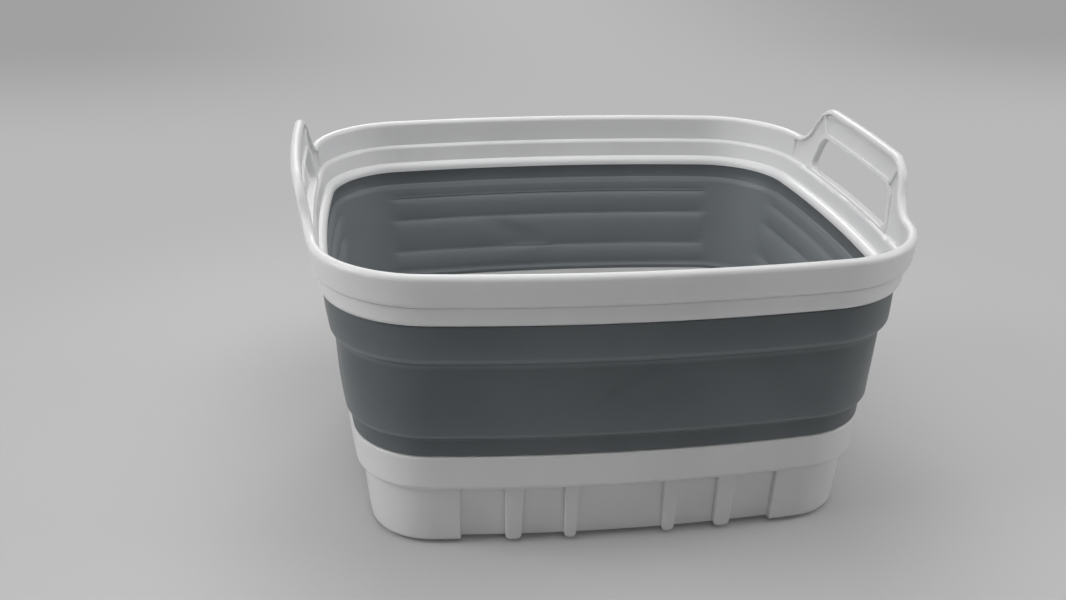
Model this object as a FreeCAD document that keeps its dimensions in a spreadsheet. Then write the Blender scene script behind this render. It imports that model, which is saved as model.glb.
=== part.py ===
"""Collapsible washing up bowl: a hard rim with two loop handles, a soft wall that folds along two creases,
and a hard base tray on four small studs. Millimetres, +Z up, origin on the floor below the middle."""

import FreeCAD, Part
import math
import os
from types import SimpleNamespace

import Sketcher
from FreeCAD import Rotation, Vector

SIZES = (
    # Plan outline of the rim: four bowed sides joined by corner arcs
    ("half_length", "157.5"),
    ("half_width", "142.5"),
    ("short_side_radius", "850"),
    ("long_side_radius", "830"),
    ("corner_radius", "60"),
    # Heights of the stacked bands, from the floor up
    ("stud_height", "1.5"),
    ("skirt_height", "33"),
    ("collar_height", "20.8"),
    ("lower_band_height", "10.6"),
    ("fold_band_height", "42.8"),
    ("upper_band_height", "21.6"),
    ("rim_lower_height", "10.5"),
    ("rim_upper_height", "17.7"),
    # Steps between the bands: a narrow groove under each rounded edge, and the lip of the band below
    ("groove_height", "0.4"),
    ("step_lip", "0.6"),
    # Rim section
    ("bead_radius", "2.6"),
    ("rim_wall", "3.2"),
    ("rim_upper_draft", "9"),
    ("rim_lower_draft", "4"),
    ("rim_round", "3.6"),
    ("ledge_thickness", "2.3"),
    ("upper_ledge_round", "2.2"),
    ("lower_ledge_round", "3.6"),
    ("anchor_skin", "2"),
    ("anchor_thickness", "2.6"),
    ("anchor_depth", "2.2"),
    # Handles
    ("handle_rise", "25"),
    ("handle_corner_run", "19.8"),
    ("handle_leg_angle", "30"),
    ("handle_corner_radius", "22"),
    ("handle_foot_radius", "20"),
    ("handle_zone_margin", "1"),
    ("handle_edge_round_share", "0.92"),
    ("handle_edge_width", "2.7"),
    ("grip_height", "17.5"),
    ("grip_leg_width", "7"),
    ("hole_leg_angle", "20"),
    ("hole_corner_radius", "10"),
    ("hole_foot_radius", "4"),
    ("hole_sill", "1.4"),
    ("hole_flange", "2.6"),
    ("hole_flange_rise", "1.4"),
    ("hole_edge_round", "0.6"),
    ("handle_rib", "2.4"),
    # Soft wall sections
    ("upper_band_wall", "3"),
    ("upper_band_draft", "3"),
    ("upper_band_round", "4.6"),
    ("upper_crease_round", "1"),
    ("fold_band_wall", "2.4"),
    ("fold_band_draft", "4"),
    ("fold_band_round", "3.6"),
    ("lower_crease_wall", "2"),
    ("lower_band_draft", "3"),
    ("lower_band_round", "2"),
    ("lower_band_skin", "1.8"),
    ("lower_ledge_drop", "3"),
    ("lower_band_ledge_round", "1.2"),
    # Base section
    ("upstand_height", "4.6"),
    ("upstand_thickness", "2.2"),
    ("collar_reveal", "1.6"),
    ("collar_top_round", "1.6"),
    ("collar_draft", "3"),
    ("collar_round", "3.6"),
    ("skirt_setback", "0.3"),
    ("skirt_draft", "6"),
    ("skirt_foot_round", "3"),
    ("skirt_foot_width", "7"),
    ("recess_depth", "4.4"),
    ("tray_wall", "2.8"),
    ("tray_lift", "1.5"),
    ("floor_thickness", "2.6"),
    ("floor_round", "6"),
    ("floor_overlap", "2"),
    ("tray_ledge_thickness", "2.8"),
    ("tray_ledge_round", "3"),
    # Windows between the corner skirts, which run on past the corner arcs, and the ribs in the windows
    ("long_skirt_run", "11.3"),
    ("short_skirt_run", "9.8"),
    ("skirt_edge_round", "1.2"),
    ("inner_rib_place_share", "0.315"),
    ("inner_rib_width", "8.4"),
    ("outer_rib_place_share", "0.673"),
    ("outer_rib_width", "10.4"),
    ("end_rib_place_share", "0.403"),
    ("end_rib_width", "9.4"),
    ("rib_taper", "1"),
    ("rib_foot_lift", "0.4"),
    ("rib_foot_round", "2.6"),
    ("rib_edge_round", "1.2"),
    # Studs
    ("stud_run", "4.3"),
    ("stud_radius", "2.4"),
    ("stud_dome_round", "1"),
    ("stud_shank_radius", "1.5"),
    ("stud_shank_length", "3"),
    ("stud_clearance", "0.05"),
    # Reach of every cut past the faces that it opens
    ("overrun", "5"),
)
# Distances below which points count as touching, and levels as equal
TOUCH = 1e-4
LEVEL = 1e-2


class Size:
    """A length or an angle in degrees, with the expression over the sheet that gives it."""

    def __init__(self, value, text):
        self.value = value
        self.text = text

    def join(self, other, sign, value):
        text = other.text if isinstance(other, Size) else str(other)
        return Size(value, "(%s %s %s)" % (self.text, sign, text))

    def __add__(self, other):
        return self.join(other, "+", self.value + number(other))

    def __sub__(self, other):
        return self.join(other, "-", self.value - number(other))

    def __mul__(self, other):
        return self.join(other, "*", self.value * number(other))

    def __truediv__(self, other):
        return self.join(other, "/", self.value / number(other))

    def __neg__(self):
        return Size(-self.value, "(-1 * %s)" % self.text)


def number(item):
    return item.value if isinstance(item, Size) else item


def sine(angle):
    return Size(math.sin(math.radians(angle.value)), "sin(%s)" % angle.text)


def cosine(angle):
    return Size(math.cos(math.radians(angle.value)), "cos(%s)" % angle.text)


def tangent(angle):
    return Size(math.tan(math.radians(angle.value)), "tan(%s)" % angle.text)


def root(area):
    return Size(math.sqrt(area.value), "sqrt(%s)" % area.text)


def chord_angle(half_chord, radius):
    """Angle in degrees that a chord of twice half_chord spans on a circle of that radius."""
    value = 2 * math.degrees(math.asin(half_chord.value / radius.value))
    return Size(value, "(2 * asin(%s / %s) / 1 deg)" % (half_chord.text, radius.text))


doc = FreeCAD.newDocument("washing_up_bowl")
sheet = doc.addObject("Spreadsheet::Sheet", "Sizes")
for row, (alias, value) in enumerate(SIZES, start=1):
    sheet.set("A%d" % row, alias)
    sheet.set("B%d" % row, value)
    sheet.setAlias("B%d" % row, alias)
doc.recompute()
dim = SimpleNamespace(**{alias: Size(float(value), "Sizes." + alias) for alias, value in SIZES})
ZERO = Size(0.0, "0")

# Levels above the floor
skirt_foot_z = dim.stud_height
tray_foot_z = skirt_foot_z + dim.tray_lift
floor_z = tray_foot_z + dim.floor_thickness
collar_foot_z = skirt_foot_z + dim.skirt_height
collar_top_z = collar_foot_z + dim.collar_height
lower_crease_z = collar_top_z + dim.lower_band_height
upper_crease_z = lower_crease_z + dim.fold_band_height
rim_foot_z = upper_crease_z + dim.upper_band_height
rim_step_z = rim_foot_z + dim.rim_lower_height
rim_top_z = rim_step_z + dim.rim_upper_height
handle_top_z = rim_top_z + dim.handle_rise


class Corner:
    """A corner of a section or plan: its place, and the arc to the next corner where there is one.
    turn is 1 where that arc turns left and -1 where it turns right."""

    def __init__(self, x, y, radius=None, turn=0):
        self.x = x
        self.y = y
        self.radius = radius
        self.turn = turn


def stepped_face(start_x, start_z, end_z, draft, radius):
    """Outer face of a band: it leans in by its draft and rounds under to a level edge at end_z."""
    turn_z = end_z + radius - radius * sine(draft)
    turn_x = start_x + (start_z - turn_z) * tangent(draft)
    end_x = turn_x + radius * cosine(draft)
    return Corner(turn_x, turn_z, radius, 1), Corner(end_x, end_z)


# Outer faces of the bands, as insets from the rim's outline, each ending over a narrow groove
bead_z = rim_top_z - dim.bead_radius
bead_tangent = Corner(dim.bead_radius - dim.bead_radius * cosine(dim.rim_upper_draft),
                      bead_z - dim.bead_radius * sine(dim.rim_upper_draft))
rim_upper_turn, rim_upper_end = stepped_face(bead_tangent.x, bead_tangent.y, rim_step_z + dim.groove_height,
                                             dim.rim_upper_draft, dim.rim_round)
rim_lower_x = rim_upper_end.x - dim.step_lip
rim_lower_turn, rim_lower_end = stepped_face(rim_lower_x, rim_step_z, rim_foot_z + dim.groove_height,
                                             dim.rim_lower_draft, dim.rim_round)
upper_band_x = rim_lower_end.x - dim.step_lip
upper_band_turn, upper_band_end = stepped_face(upper_band_x, rim_foot_z, upper_crease_z + dim.groove_height,
                                               dim.upper_band_draft, dim.upper_band_round)
fold_band_x = upper_band_end.x - dim.step_lip
fold_band_turn, fold_band_end = stepped_face(fold_band_x, upper_crease_z, lower_crease_z + dim.groove_height,
                                             dim.fold_band_draft, dim.fold_band_round)
lower_band_x = fold_band_end.x - dim.step_lip
lower_band_turn, lower_band_end = stepped_face(lower_band_x, lower_crease_z, collar_top_z + dim.groove_height,
                                               dim.lower_band_draft, dim.lower_band_round)
collar_x = lower_band_end.x - dim.collar_reveal
collar_turn, collar_end = stepped_face(collar_x, collar_top_z - dim.collar_top_round,
                                       collar_foot_z + dim.groove_height, dim.collar_draft, dim.collar_round)
skirt_turn, skirt_end = stepped_face(collar_end.x + dim.skirt_setback, collar_foot_z, skirt_foot_z,
                                     dim.skirt_draft, dim.skirt_foot_round)

# Shared fits: the rim's anchor flange in the upper band, and the base's upstand in the lower band
anchor_x = upper_band_x + dim.anchor_skin
anchor_foot_z = rim_foot_z - dim.anchor_depth
anchor_inner_x = anchor_x + dim.anchor_thickness
upstand_x = lower_band_end.x + dim.lower_band_skin
upstand_inner_x = upstand_x + dim.upstand_thickness
upstand_top_z = collar_top_z + dim.upstand_height
upper_crease_x = fold_band_x + dim.fold_band_wall
lower_crease_x = fold_band_end.x + dim.lower_crease_wall


# Skirt and tray faces of the base
def recess_x(z):
    """Inset of the recessed side wall, parallel to the skirt's outer face."""
    return collar_end.x + dim.recess_depth + (collar_foot_z - z) * tangent(dim.skirt_draft)


def skirt_x(z):
    """Inset of the outer face of skirts and ribs."""
    return recess_x(z) - dim.recess_depth + dim.skirt_setback


def wall_middle_x(z):
    """Inset of the middle of the tray's wall, where skirts and ribs end."""
    return recess_x(z) + dim.tray_wall / 2


foot_inner_x = skirt_end.x + dim.skirt_foot_width
tray_inner_x = recess_x(floor_z) + dim.tray_wall
collar_underside_z = collar_foot_z + dim.groove_height
tray_ledge_z = collar_underside_z + dim.tray_ledge_thickness
skirt_top_z = collar_underside_z + dim.tray_ledge_thickness / 2
floor_middle_z = tray_foot_z + dim.floor_thickness / 2
tray_ledge_x = recess_x(tray_ledge_z) + dim.tray_wall
floor_edge_x = tray_inner_x + dim.floor_round + dim.floor_overlap


def point(x, y):
    return Vector(x.value, y.value, 0)


def edge_between(corner, after):
    """Line or arc from one corner to the next, and which of its ends is the start."""
    first, last = point(corner.x, corner.y), point(after.x, after.y)
    if corner.radius is None:
        return Part.LineSegment(first, last), (1, 2)
    half = (last - first) * 0.5
    left = Vector(-half.y, half.x, 0).normalize()
    rise = math.sqrt(max(0.0, corner.radius.value ** 2 - half.Length ** 2))
    centre = first + half + left * (corner.turn * rise)
    angles = [math.atan2(end.y - centre.y, end.x - centre.x) for end in (first, last)]
    if corner.turn < 0:
        angles.reverse()
    if angles[1] < angles[0]:
        angles[1] += 2 * math.pi
    arc = Part.ArcOfCircle(Part.Circle(centre, Vector(0, 0, 1), corner.radius.value), *angles)
    return arc, (1, 2) if corner.turn > 0 else (2, 1)


def bind(sketch, constraint, size):
    index = sketch.addConstraint(constraint)
    sketch.setExpression("Constraints[%d]" % index, size.text)


def place_point(sketch, edge, end, x, y):
    """Hold one end of an edge at its place from the sketch's origin."""
    for kind, axis, size in (("DistanceX", -2, x), ("DistanceY", -1, y)):
        if abs(size.value) < TOUCH:
            sketch.addConstraint(Sketcher.Constraint("PointOnObject", edge, end, axis))
        elif size.value > 0:
            bind(sketch, Sketcher.Constraint(kind, -1, 1, edge, end, size.value), size)
        else:
            bind(sketch, Sketcher.Constraint(kind, edge, end, -1, 1, -size.value), -size)


def draw_loop(sketch, corners):
    """Draw one closed loop of lines and arcs, every corner and radius held by the sheet."""
    afters = corners[1:] + corners[:1]
    pairs = [edge_between(corner, after) for corner, after in zip(corners, afters)]
    edges = sketch.addGeometry([edge for edge, ends in pairs], False)
    for index, corner in enumerate(corners):
        edge, (start, finish) = edges[index], pairs[index][1]
        following = (index + 1) % len(corners)
        sketch.addConstraint(Sketcher.Constraint("Coincident", edge, finish, edges[following],
                                                 pairs[following][1][0]))
        place_point(sketch, edge, start, corner.x, corner.y)
        if corner.radius is not None:
            bind(sketch, Sketcher.Constraint("Radius", edge, corner.radius.value), corner.radius)


def new_body(name):
    body = doc.addObject("PartDesign::Body", name)
    body.Label = name
    return body


def body_sketch(body, name, role):
    sketch = body.newObject("Sketcher::SketchObject", name)
    plane = [feature for feature in body.Origin.OriginFeatures if feature.Role == role][0]
    sketch.AttachmentSupport = [(plane, "")]
    sketch.MapMode = "FlatFace"
    return sketch


def corner_centre():
    """Centre of the corner arc, which touches the circles of the two sides from within."""
    short_x = dim.half_length.value - dim.short_side_radius.value
    long_y = dim.half_width.value - dim.long_side_radius.value
    short_reach = dim.short_side_radius.value - dim.corner_radius.value
    long_reach = dim.long_side_radius.value - dim.corner_radius.value
    apart = math.hypot(short_x, long_y)
    along = (short_reach ** 2 - long_reach ** 2 + apart ** 2) / (2 * apart)
    across = math.sqrt(short_reach ** 2 - along ** 2)
    return (short_x - short_x / apart * along - long_y / apart * across,
            long_y / apart * along - short_x / apart * across)


def outline_arcs(inset):
    """The plan outline moved in by inset: nine arcs that start and end on the +X axis."""
    short = (dim.short_side_radius - inset).value
    long = (dim.long_side_radius - inset).value
    round_radius = (dim.corner_radius - inset).value
    short_x = dim.half_length.value - dim.short_side_radius.value
    long_y = dim.half_width.value - dim.long_side_radius.value
    centre_x, centre_y = corner_centre()
    low = math.atan2(centre_y, centre_x - short_x)
    high = math.atan2(centre_y - long_y, centre_x)
    half = math.pi
    full = 2 * math.pi
    arcs = (
        (short_x, 0, short, 0, low),
        (centre_x, centre_y, round_radius, low, high),
        (0, long_y, long, high, half - high),
        (-centre_x, centre_y, round_radius, half - high, half - low),
        (-short_x, 0, short, half - low, half + low),
        (-centre_x, -centre_y, round_radius, half + low, half + high),
        (0, -long_y, long, half + high, full - high),
        (centre_x, -centre_y, round_radius, full - high, full - low),
        (short_x, 0, short, full - low, full),
    )
    return [Part.ArcOfCircle(Part.Circle(Vector(x, y, 0), Vector(0, 0, 1), radius), start, end)
            for x, y, radius, start, end in arcs]


def draw_outline(sketch, inset):
    """Tangent arcs held by the half length, half width and three radii, all moved in by inset."""
    arcs = sketch.addGeometry(outline_arcs(inset), False)
    for arc, after in zip(arcs, arcs[1:] + arcs[:1]):
        sketch.addConstraint(Sketcher.Constraint("Tangent", arc, 2, after, 1))
    right, top, left, bottom, right_end = arcs[::2]
    sides = [(arc, dim.short_side_radius) for arc in (right, left, right_end)]
    sides += [(arc, dim.long_side_radius) for arc in (top, bottom)]
    for arc, radius in sides + [(corner, dim.corner_radius) for corner in arcs[1::2]]:
        size = radius - inset
        bind(sketch, Sketcher.Constraint("Radius", arc, size.value), size)
    short_x = dim.short_side_radius - dim.half_length
    long_y = dim.long_side_radius - dim.half_width
    place_point(sketch, right, 3, -short_x, ZERO)
    sketch.addConstraint(Sketcher.Constraint("PointOnObject", right, 1, -1))
    place_point(sketch, left, 3, short_x, ZERO)
    place_point(sketch, top, 3, ZERO, -long_y)
    place_point(sketch, bottom, 3, ZERO, long_y)
    return arcs


def measured(sketch, name, kind, edge, value):
    """A size that the sketch measures from its origin to the centre of one of its arcs."""
    index = sketch.addConstraint(Sketcher.Constraint(kind, -1, 1, edge, 3, value))
    sketch.setDriving(index, False)
    sketch.renameConstraint(index, name)
    return Size(value, "(%s.Constraints.%s / 1 mm)" % (sketch.Name, name))


# Plan of the rim, which gives the place of its corner arcs
plan = doc.addObject("Sketcher::SketchObject", "plan")
first_corner = draw_outline(plan, ZERO)[1]
corner_x, corner_y = [measured(plan, name, kind, first_corner, value) for name, kind, value in zip(
    ("corner_x", "corner_y"), ("DistanceX", "DistanceY"), corner_centre())]
doc.recompute()


def sweep_ring(name, section_corners):
    """A body whose section, given as insets and heights, runs all round the outline."""
    body = new_body(name)
    path = body_sketch(body, name + "_path", "XY_Plane")
    path_edges = ["Edge%d" % (arc + 1) for arc in draw_outline(path, ZERO)]
    section = body_sketch(body, name + "_section", "XZ_Plane")
    draw_loop(section, [Corner(dim.half_length - corner.x, corner.y, corner.radius, -corner.turn)
                        for corner in section_corners])
    doc.recompute()
    sweep = body.newObject("PartDesign::AdditivePipe", name + "_sweep")
    sweep.Profile = (section, [""])
    sweep.Spine = (path, path_edges)
    doc.recompute()
    return body


def face_in(base_x, wall, base_z, draft, z):
    """Inset of the inner face, parallel to an outer face that leans in by its draft."""
    return base_x + wall / cosine(draft) + (base_z - z) * tangent(draft)


# Rim ring
upper_ledge_z = rim_step_z + dim.groove_height + dim.ledge_thickness
lower_ledge_z = rim_foot_z + dim.groove_height + dim.ledge_thickness
bead_inner_x = dim.bead_radius * 2


def rim_upper_inner(z):
    return face_in(bead_tangent.x, dim.rim_wall, bead_tangent.y, dim.rim_upper_draft, z)


def rim_lower_inner(z):
    return face_in(rim_lower_x, dim.rim_wall, rim_step_z, dim.rim_lower_draft, z)


rim_ledge_turn_z = upper_ledge_z - dim.upper_ledge_round
rim_ring = sweep_ring("rim_ring", [
    Corner(bead_tangent.x, bead_tangent.y), rim_upper_turn, rim_upper_end,
    Corner(rim_lower_x, rim_step_z), rim_lower_turn, rim_lower_end,
    Corner(rim_lower_end.x, rim_foot_z), Corner(anchor_x, rim_foot_z), Corner(anchor_x, anchor_foot_z),
    Corner(anchor_inner_x, anchor_foot_z),
    Corner(anchor_inner_x, lower_ledge_z - dim.lower_ledge_round, dim.lower_ledge_round, 1),
    Corner(anchor_inner_x - dim.lower_ledge_round, lower_ledge_z),
    Corner(rim_lower_inner(lower_ledge_z), lower_ledge_z),
    Corner(rim_lower_inner(rim_ledge_turn_z), rim_ledge_turn_z, dim.upper_ledge_round, 1),
    Corner(rim_lower_inner(rim_ledge_turn_z) - dim.upper_ledge_round, upper_ledge_z),
    Corner(rim_upper_inner(upper_ledge_z), upper_ledge_z),
    Corner(bead_inner_x, bead_z, dim.bead_radius, 1),
    Corner(dim.bead_radius, rim_top_z, dim.bead_radius, 1)])


# Soft wall bands
upper_step_z = upper_crease_z + dim.groove_height + dim.fold_band_wall
upper_inner_round = dim.upper_band_round - dim.upper_band_wall
upper_inner_z = upper_step_z + upper_inner_round


def upper_band_inner(z):
    return face_in(upper_band_x, dim.upper_band_wall, rim_foot_z, dim.upper_band_draft, z)


wall_upper_band = sweep_ring("wall_upper_band", [
    Corner(upper_band_x, rim_foot_z), upper_band_turn, upper_band_end,
    Corner(upper_band_end.x, upper_crease_z), Corner(upper_crease_x, upper_crease_z),
    Corner(upper_crease_x, upper_step_z - dim.upper_crease_round, dim.upper_crease_round, 1),
    Corner(upper_crease_x - dim.upper_crease_round, upper_step_z),
    Corner(upper_band_inner(upper_inner_z) + upper_inner_round, upper_step_z, upper_inner_round, -1),
    Corner(upper_band_inner(upper_inner_z), upper_inner_z),
    Corner(upper_band_inner(anchor_foot_z), anchor_foot_z), Corner(anchor_x, anchor_foot_z),
    Corner(anchor_x, rim_foot_z)])

wall_fold_band = sweep_ring("wall_fold_band", [
    Corner(fold_band_x, upper_crease_z), fold_band_turn, fold_band_end,
    Corner(fold_band_end.x, lower_crease_z), Corner(lower_crease_x, lower_crease_z),
    Corner(upper_crease_x, upper_crease_z)])

band_ledge_z = lower_crease_z - dim.lower_ledge_drop
wall_lower_band = sweep_ring("wall_lower_band", [
    Corner(lower_band_x, lower_crease_z), lower_band_turn, lower_band_end,
    Corner(lower_band_end.x, collar_top_z), Corner(upstand_x, collar_top_z), Corner(upstand_x, upstand_top_z),
    Corner(upstand_inner_x, upstand_top_z),
    Corner(upstand_inner_x, band_ledge_z - dim.lower_band_ledge_round, dim.lower_band_ledge_round, 1),
    Corner(upstand_inner_x - dim.lower_band_ledge_round, band_ledge_z),
    Corner(lower_crease_x, band_ledge_z), Corner(lower_crease_x, lower_crease_z)])

# Base tray: the swept wall and the floor
tray_ring = sweep_ring("tray_ring", [
    Corner(upstand_x, upstand_top_z), Corner(upstand_x, collar_top_z),
    Corner(collar_x + dim.collar_top_round, collar_top_z, dim.collar_top_round, 1),
    Corner(collar_x, collar_top_z - dim.collar_top_round), collar_turn, collar_end,
    Corner(recess_x(collar_underside_z), collar_underside_z), Corner(recess_x(tray_foot_z), tray_foot_z),
    Corner(floor_edge_x, tray_foot_z), Corner(floor_edge_x, floor_z),
    Corner(tray_inner_x + dim.floor_round, floor_z, dim.floor_round, -1),
    Corner(tray_inner_x, floor_z + dim.floor_round),
    Corner(tray_ledge_x, tray_ledge_z - dim.tray_ledge_round, dim.tray_ledge_round, 1),
    Corner(tray_ledge_x - dim.tray_ledge_round, tray_ledge_z), Corner(upstand_inner_x, tray_ledge_z),
    Corner(upstand_inner_x, upstand_top_z)])
floor_plan = body_sketch(tray_ring, "floor_plan", "XY_Plane")
draw_outline(floor_plan, floor_edge_x - dim.floor_overlap)
floor_plan.setExpression("AttachmentOffset.Base.z", tray_foot_z.text)
doc.recompute()
floor_pad = tray_ring.newObject("PartDesign::Pad", "floor_pad")
floor_pad.Profile = (floor_plan, [""])
floor_pad.setExpression("Length", dim.floor_thickness.text)
doc.recompute()

ALONG_X = Vector(1, 0, 0)
ALONG_Y = Vector(0, 1, 0)
UPRIGHT = Vector(0, 0, 1)
FRONT_VIEW = FreeCAD.Placement(Vector(0, 0, 0), Rotation(ALONG_X, 90))
END_VIEW = FreeCAD.Placement(Vector(0, 0, 0), Rotation(Vector(1, 1, 1), 120))
short_axis_x = dim.half_length - dim.short_side_radius
long_axis_y = dim.half_width - dim.long_side_radius
reach = dim.half_length + dim.handle_rise


def loose_sketch(name, view, loops):
    sketch = doc.addObject("Sketcher::SketchObject", name)
    sketch.Placement = view
    for corners in loops:
        draw_loop(sketch, corners)
    return sketch


def extrude_both_ways(name, sketch, direction):
    """Solid of a sketch that runs through the whole bowl along one axis."""
    solid = doc.addObject("Part::Extrusion", name)
    solid.Base = sketch
    solid.DirMode = "Custom"
    solid.Dir = direction
    solid.Solid = True
    solid.setExpression("LengthFwd", reach.text)
    solid.setExpression("LengthRev", reach.text)
    return solid


def revolve_about(name, sketch, axis_x, axis_y, angle):
    """Sector of a section about an upright axis, half of the angle to each side."""
    sector = doc.addObject("Part::Revolution", name)
    sector.Source = sketch
    sector.Axis = UPRIGHT
    sector.Solid = True
    sector.Symmetric = True
    sector.setExpression("Base.x", axis_x.text)
    sector.setExpression("Base.y", axis_y.text)
    sector.setExpression("Angle", angle.text)
    return sector


def boolean(kind, name, base, tool):
    result = doc.addObject("Part::" + kind, name)
    result.Base = base
    result.Tool = tool
    return result


def box_between(name, low, high):
    """Box between two opposite corners, each given as x, y and z."""
    box = doc.addObject("Part::Box", name)
    for side, axis, start, end in zip(("Length", "Width", "Height"), "xyz", low, high):
        box.setExpression(side, (end - start).text)
        box.setExpression("Placement.Base." + axis, start.text)
    return box


def gather(kind, name, shapes):
    result = doc.addObject("Part::" + kind, name)
    if kind == "Compound":
        result.Links = shapes
    else:
        result.Shapes = shapes
    return result


def mirror(name, source, normal):
    result = doc.addObject("Part::Mirroring", name)
    result.Source = source
    result.Normal = normal
    return result


def round_edges(name, base, radius, wanted):
    """Round the edges of base whose entry in wanted is true."""
    rounded = doc.addObject("Part::Fillet", name)
    rounded.Base = base
    rounded.Edges = [(index, radius.value, radius.value)
                     for index, want in enumerate(wanted, start=1) if want]
    doc.recompute()
    return rounded


def from_side(side, corners):
    """Section corners given as insets, placed at the middle of a side that lies that far out."""
    return [Corner(side - corner.x, corner.y, corner.radius, -corner.turn) for corner in corners]


def four_ways(name, source):
    """A piece and its mirror images in the other three corners."""
    opposite = mirror(name + "_opposite", source, ALONG_Y)
    ends = [mirror(name + "_end", source, ALONG_X), mirror(name + "_opposite_end", opposite, ALONG_X)]
    return gather("Compound", name, [source, opposite] + ends)


def lies_on(edge, surface):
    """True where the start and the middle of an edge lie on a shape's surface."""
    middle = (edge.FirstParameter + edge.LastParameter) / 2
    points = [edge.valueAt(edge.FirstParameter), edge.valueAt(middle)]
    return all(surface.distToShape(Part.Vertex(place))[0] < TOUCH for place in points)


# Corner skirts: a corner of a ring round the tray's foot, up to the windows in the middle of its two sides
long_window_half = corner_x - dim.long_skirt_run
short_window_half = corner_y - dim.short_skirt_run
long_circle = dim.long_side_radius - collar_end.x
short_circle = dim.short_side_radius - collar_end.x
skirt_ring = sweep_ring("skirt_ring", [
    Corner(skirt_x(skirt_top_z), skirt_top_z), skirt_turn, skirt_end, Corner(foot_inner_x, skirt_foot_z),
    Corner(foot_inner_x, floor_middle_z), Corner(wall_middle_x(floor_middle_z), floor_middle_z),
    Corner(wall_middle_x(skirt_top_z), skirt_top_z)])
outside_x = collar_end.x - dim.overrun
inside_x = foot_inner_x + dim.overrun
below_z = skirt_foot_z - dim.overrun
above_z = skirt_top_z + dim.overrun
window_section = [Corner(outside_x, below_z), Corner(inside_x, below_z), Corner(inside_x, above_z),
                  Corner(outside_x, above_z)]
long_section = loose_sketch("long_window_section", END_VIEW, [from_side(dim.half_width, window_section)])
long_window = revolve_about("long_window", long_section, ZERO, long_axis_y,
                            chord_angle(long_window_half, long_circle))
short_section = loose_sketch("short_window_section", FRONT_VIEW, [from_side(dim.half_length, window_section)])
short_window = revolve_about("short_window", short_section, short_axis_x, ZERO,
                             chord_angle(short_window_half, short_circle))
windows = gather("Compound", "windows", [
    mirror("front_window", long_window, ALONG_Y), mirror("left_window", short_window, ALONG_X)])
front_left = box_between("front_left_quarter", (-dim.half_length, -dim.half_width, below_z),
                         (ZERO, ZERO, above_z))
corner_ring = boolean("Common", "corner_ring", skirt_ring, front_left)
skirt_sharp = boolean("Cut", "skirt_sharp", corner_ring, windows)
doc.recompute()


def faces_outwards(face):
    """True for the faces of a ring that look away from the bowl's middle."""
    low_u, high_u, low_v, high_v = face.ParameterRange
    middle = ((low_u + high_u) / 2, (low_v + high_v) / 2)
    place = face.valueAt(*middle)
    return face.normalAt(*middle).dot(Vector(place.x, place.y, 0).normalize()) > LEVEL


outer_faces = Part.Compound([face for face in skirt_ring.Shape.Faces if faces_outwards(face)])
window_faces = Part.Compound(windows.Shape.Faces)
skirts = four_ways("skirts", round_edges("skirt", skirt_sharp, dim.skirt_edge_round, [
    edge.BoundBox.ZLength > LEVEL and lies_on(edge, outer_faces) and lies_on(edge, window_faces)
    for edge in skirt_sharp.Shape.Edges]))


# Ribs in the windows: like the skirts, they reach up into the tray's ledge and back into its wall
def rib_front(width):
    """Front of a rib: it tapers downwards and its foot is rounded."""
    half = width / 2
    foot_half = half - dim.rib_taper
    flat_half = foot_half - dim.rib_foot_round
    foot_z = skirt_foot_z + dim.rib_foot_lift
    turn_z = foot_z + dim.rib_foot_round
    return [Corner(-half, skirt_top_z), Corner(-foot_half, turn_z, dim.rib_foot_round, 1),
            Corner(-flat_half, foot_z), Corner(flat_half, foot_z, dim.rib_foot_round, 1),
            Corner(foot_half, turn_z), Corner(half, skirt_top_z)]


def middle_rib(name, width, side, front_view, outward, depth_view, along):
    """A rib at the middle of a side, with the edges of its face rounded."""
    front = loose_sketch(name + "_front", front_view, [rib_front(width)])
    depth = loose_sketch(name + "_depth", depth_view, [from_side(side, [
        Corner(skirt_x(skirt_top_z), skirt_top_z), Corner(skirt_x(below_z), below_z),
        Corner(wall_middle_x(below_z), below_z), Corner(wall_middle_x(skirt_top_z), skirt_top_z)])])
    blank = boolean("Common", name + "_blank", extrude_both_ways(name + "_prism", front, outward),
                    extrude_both_ways(name + "_wedge", depth, along))
    doc.recompute()
    face = max(blank.Shape.Faces, key=lambda item: item.CenterOfMass.dot(outward))
    return round_edges(name + "_rounded", blank, dim.rib_edge_round, [
        lies_on(edge, face) and edge.BoundBox.ZMin < collar_foot_z.value for edge in blank.Shape.Edges])


def turned(name, rib, axis_x, axis_y, lean_sine, turn):
    """The rib moved along its bowed side, about the side's own upright axis."""
    lean_cosine = root(lean_sine * lean_sine * -1 + 1)
    signed_sine = lean_sine * turn
    placed = gather("Compound", name, [rib])
    placed.setExpression("Placement.Rotation.Angle", "asin(%s)" % signed_sine.text)
    placed.setExpression("Placement.Base.x", (axis_x - axis_x * lean_cosine + axis_y * signed_sine).text)
    placed.setExpression("Placement.Base.y", (axis_y - axis_y * lean_cosine - axis_x * signed_sine).text)
    return placed


def long_rib(name, width, place):
    rib = middle_rib(name, width, dim.half_width, FRONT_VIEW, ALONG_Y, END_VIEW, ALONG_X)
    return four_ways(name + "s", turned(name, rib, ZERO, long_axis_y, place / long_circle, -1))


def end_rib(name, width, place):
    rib = middle_rib(name, width, dim.half_length, END_VIEW, ALONG_X, FRONT_VIEW, ALONG_Y)
    return four_ways(name + "s", turned(name, rib, short_axis_x, ZERO, place / short_circle, 1))


ribs = [long_rib("inner_rib", dim.inner_rib_width, long_window_half * dim.inner_rib_place_share),
        long_rib("outer_rib", dim.outer_rib_width, long_window_half * dim.outer_rib_place_share),
        end_rib("end_rib", dim.end_rib_width, short_window_half * dim.end_rib_place_share)]
base_whole = gather("MultiFuse", "base_whole", [tray_ring, skirts] + ribs)


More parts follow.
